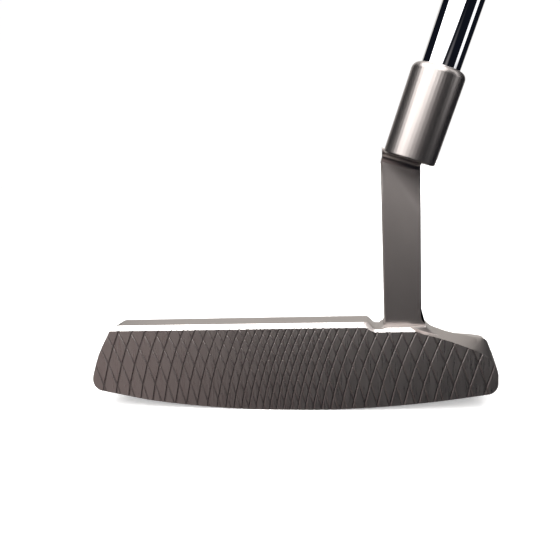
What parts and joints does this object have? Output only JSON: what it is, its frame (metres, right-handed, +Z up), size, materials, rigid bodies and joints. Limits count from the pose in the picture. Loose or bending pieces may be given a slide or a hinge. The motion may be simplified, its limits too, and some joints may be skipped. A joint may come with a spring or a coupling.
{
  "type": "blade putter",
  "caption": "Right-handed blade putter with a milled face, plumber's neck, stepped steel shaft and rubber pistol grip.",
  "frame": {"origin": "centre of the sole's flat, on the ground, with the club at address", "axes": "+Z up, -Y the way the face looks, +X from toe to heel; the shaft leans towards +X as it rises"},
  "size_m": [0.3807, 0.0459, 0.8154],
  "materials": {
    "head_steel": "bead-blasted dark satin, with a bright milled topline edge",
    "shaft_chrome": "mirror polished plating",
    "weight_steel": "turned, fine concentric marks",
    "epoxy": "cured resin",
    "grip_rubber": "matt, fine pebble",
    "washer_rubber": "plain",
    "tape": "crepe tape",
    "sight_paint": "paint fill",
    "cap_plastic": "satin moulded"
  },
  "bodies": {
    "root": {"blade_head": "head_steel", "plumber_neck": "head_steel", "hosel_epoxy": "epoxy", "shaft": "shaft_chrome", "grip_tape": "tape", "grip": "grip_rubber", "grip_end_cap": "cap_plastic", "sight_line_fill": "sight_paint", "sole_weight_toe": "weight_steel", "sole_weight_heel": "weight_steel", "weight_washer_toe": "washer_rubber", "weight_washer_heel": "washer_rubber"}
  },
  "joints": []
}
